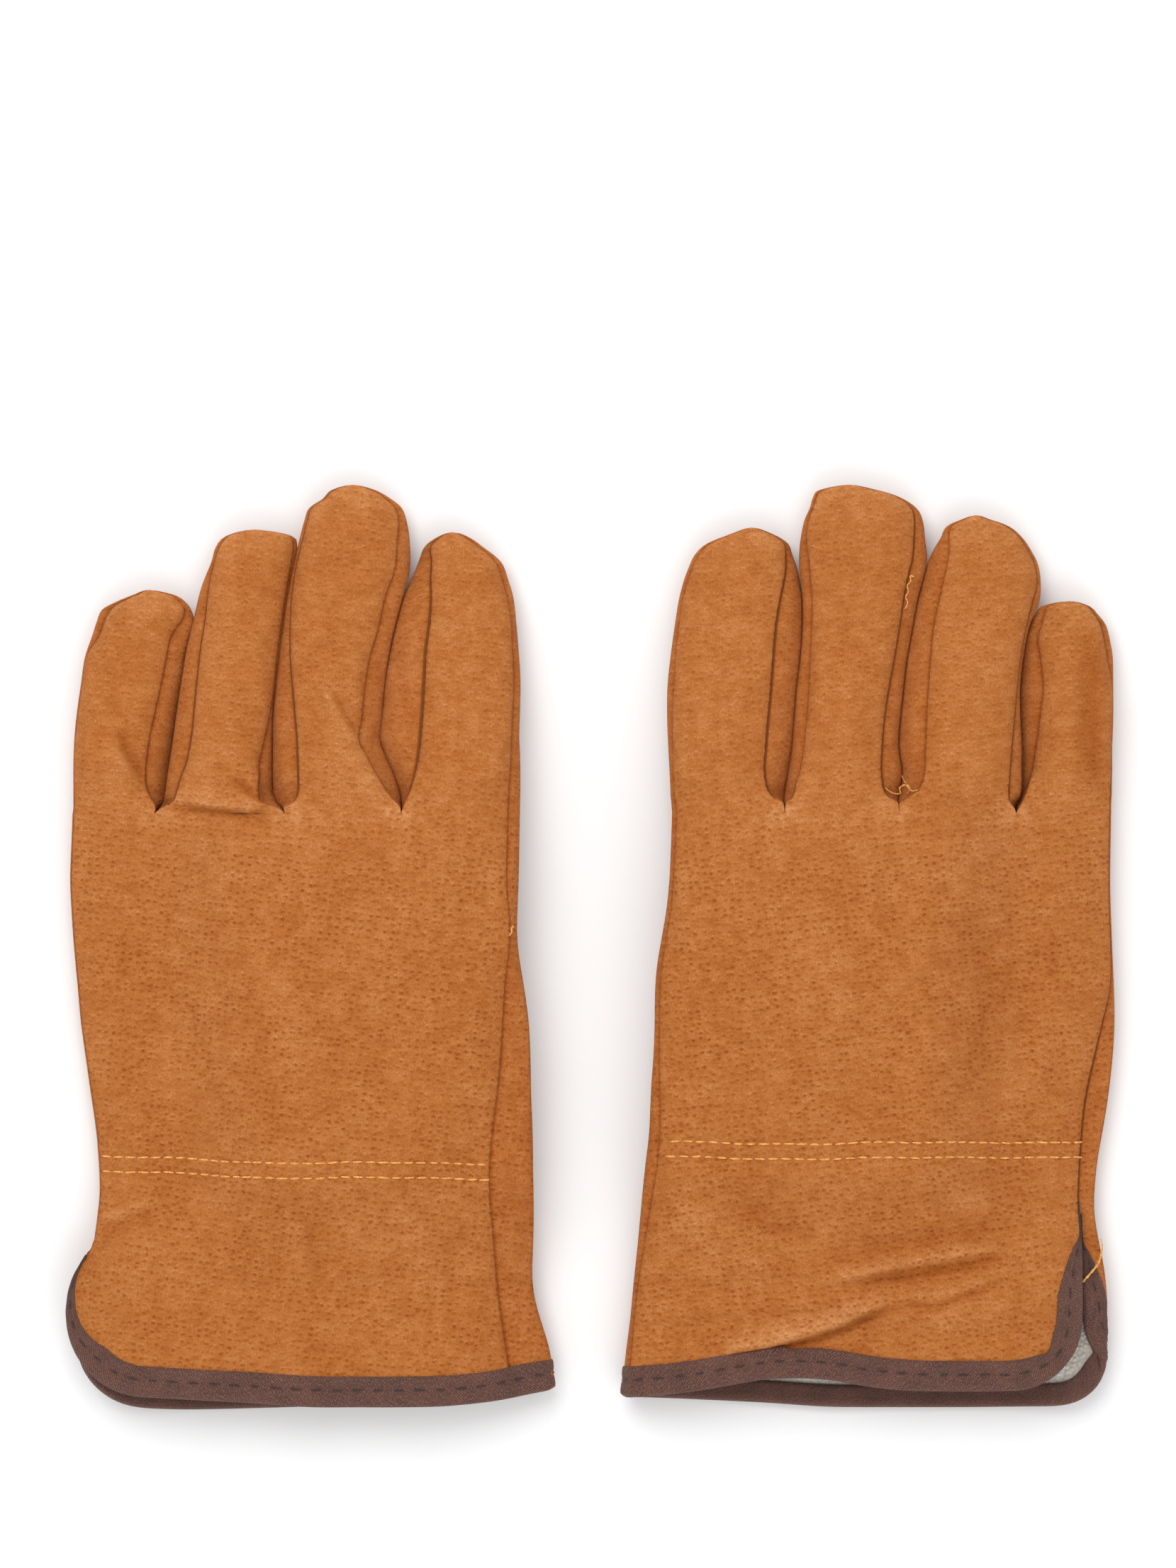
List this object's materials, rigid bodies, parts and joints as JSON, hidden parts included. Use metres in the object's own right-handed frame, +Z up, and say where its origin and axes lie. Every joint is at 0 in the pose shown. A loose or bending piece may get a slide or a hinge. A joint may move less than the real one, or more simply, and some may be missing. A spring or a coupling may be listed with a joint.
{
  "type": "pair of leather work gloves",
  "caption": "Pair of short-cuff lined suede work gloves lying palm down with tucked thumbs, bound vented cuffs, stitched elastic wrists and fingers that curl at the knuckles",
  "frame": {"origin": "centre of the pair's footprint, on the surface that the gloves lie on", "axes": "+Z up from the bench, +Y towards the fingertips, the left glove at -X and the right glove at +X"},
  "size_m": [0.2845, 0.25, 0.0265],
  "materials": {
    "suede_leather": "rough",
    "palm_leather": "rough",
    "fleece_lining": "matte",
    "binding_tape": "matte",
    "gold_thread": "satin",
    "brown_thread": "matte",
    "wrist_elastic": "matte"
  },
  "bodies": {
    "left_hand": {"left_back_panel": "suede_leather", "left_palm_panel": "palm_leather", "left_hand_lining": "fleece_lining", "left_wrist_elastic": "wrist_elastic", "left_cuff_binding": "binding_tape", "left_wrist_stitching": "gold_thread", "left_binding_stitching": "brown_thread", "left_knuckle_leather": "suede_leather", "left_knuckle_lining": "fleece_lining", "left_thumb_root": "palm_leather"},
    "left_index": {"left_index_back": "suede_leather", "left_index_palm": "palm_leather", "left_index_fourchette": "palm_leather", "left_index_lining": "fleece_lining"},
    "left_middle": {"left_middle_back": "suede_leather", "left_middle_palm": "palm_leather", "left_middle_fourchettes": "palm_leather", "left_middle_lining": "fleece_lining"},
    "left_ring": {"left_ring_back": "suede_leather", "left_ring_palm": "palm_leather", "left_ring_fourchettes": "palm_leather", "left_ring_lining": "fleece_lining"},
    "left_little": {"left_little_back": "suede_leather", "left_little_palm": "palm_leather", "left_little_fourchette": "palm_leather", "left_little_lining": "fleece_lining"},
    "left_thumb": {"left_thumb_outer": "palm_leather", "left_thumb_inner": "palm_leather", "left_thumb_lining": "fleece_lining"},
    "right_hand": {"right_back_panel": "suede_leather", "right_palm_panel": "palm_leather", "right_hand_lining": "fleece_lining", "right_wrist_elastic": "wrist_elastic", "right_cuff_binding": "binding_tape", "right_wrist_stitching": "gold_thread", "right_binding_stitching": "brown_thread", "right_knuckle_leather": "suede_leather", "right_knuckle_lining": "fleece_lining", "right_thumb_root": "palm_leather"},
    "right_index": {"right_index_back": "suede_leather", "right_index_palm": "palm_leather", "right_index_fourchette": "palm_leather", "right_index_lining": "fleece_lining"},
    "right_middle": {"right_middle_back": "suede_leather", "right_middle_palm": "palm_leather", "right_middle_fourchettes": "palm_leather", "right_middle_lining": "fleece_lining"},
    "right_ring": {"right_ring_back": "suede_leather", "right_ring_palm": "palm_leather", "right_ring_fourchettes": "palm_leather", "right_ring_lining": "fleece_lining"},
    "right_little": {"right_little_back": "suede_leather", "right_little_palm": "palm_leather", "right_little_fourchette": "palm_leather", "right_little_lining": "fleece_lining"},
    "right_thumb": {"right_thumb_outer": "palm_leather", "right_thumb_inner": "palm_leather", "right_thumb_lining": "fleece_lining"}
  },
  "joints": [
    {"name": "left_index_curl", "type": "hinge", "parent": "left_hand", "child": "left_index", "pos_m": [-0.0359, 0.045, 0.016], "axis": [-0.9999, 0.014, 0], "range_deg": [-35, 70], "deforming": ["left_knuckle_leather", "left_knuckle_lining"]},
    {"name": "left_middle_curl", "type": "hinge", "parent": "left_hand", "child": "left_middle", "pos_m": [-0.0705, 0.045, 0.016], "axis": [-0.9949, 0.1011, 0], "range_deg": [-35, 70], "deforming": ["left_knuckle_leather", "left_knuckle_lining"]},
    {"name": "left_ring_curl", "type": "hinge", "parent": "left_hand", "child": "left_ring", "pos_m": [-0.0995, 0.045, 0.0138], "axis": [-0.9921, 0.1253, 0], "range_deg": [-35, 70], "deforming": ["left_knuckle_leather", "left_knuckle_lining"]},
    {"name": "left_little_curl", "type": "hinge", "parent": "left_hand", "child": "left_little", "pos_m": [-0.1264, 0.045, 0.0075], "axis": [-0.9871, 0.1599, 0], "range_deg": [-35, 70], "deforming": ["left_knuckle_leather", "left_knuckle_lining"]},
    {"name": "left_thumb_swing", "type": "hinge", "parent": "left_hand", "child": "left_thumb", "pos_m": [-0.0366, -0.0335, 0.0055], "axis": [0, 0, -1], "range_deg": [0, 78], "deforming": ["left_thumb_root"]},
    {"name": "right_index_curl", "type": "hinge", "parent": "right_hand", "child": "right_index", "pos_m": [0.0379, 0.045, 0.016], "axis": [-0.9976, 0.0698, 0], "range_deg": [-35, 70], "deforming": ["right_knuckle_leather", "right_knuckle_lining"]},
    {"name": "right_middle_curl", "type": "hinge", "parent": "right_hand", "child": "right_middle", "pos_m": [0.0689, 0.045, 0.016], "axis": [-0.9963, 0.0854, 0], "range_deg": [-35, 70], "deforming": ["right_knuckle_leather", "right_knuckle_lining"]},
    {"name": "right_ring_curl", "type": "hinge", "parent": "right_hand", "child": "right_ring", "pos_m": [0.0992, 0.045, 0.01457], "axis": [-0.9932, 0.1167, 0], "range_deg": [-35, 70], "deforming": ["right_knuckle_leather", "right_knuckle_lining"]},
    {"name": "right_little_curl", "type": "hinge", "parent": "right_hand", "child": "right_little", "pos_m": [0.1293, 0.045, 0.0075], "axis": [-0.9998, 0.0209, 0], "range_deg": [-35, 70], "deforming": ["right_knuckle_leather", "right_knuckle_lining"]},
    {"name": "right_thumb_swing", "type": "hinge", "parent": "right_hand", "child": "right_thumb", "pos_m": [0.0389, -0.0335, 0.0055], "axis": [0, 0, 1], "range_deg": [0, 78], "deforming": ["right_thumb_root"]},
    {"name": "right_glove_lift", "type": "slide", "parent": "left_hand", "child": "right_hand", "axis": [0, 0, 1], "range_m": [0, 0.08]}
  ]
}
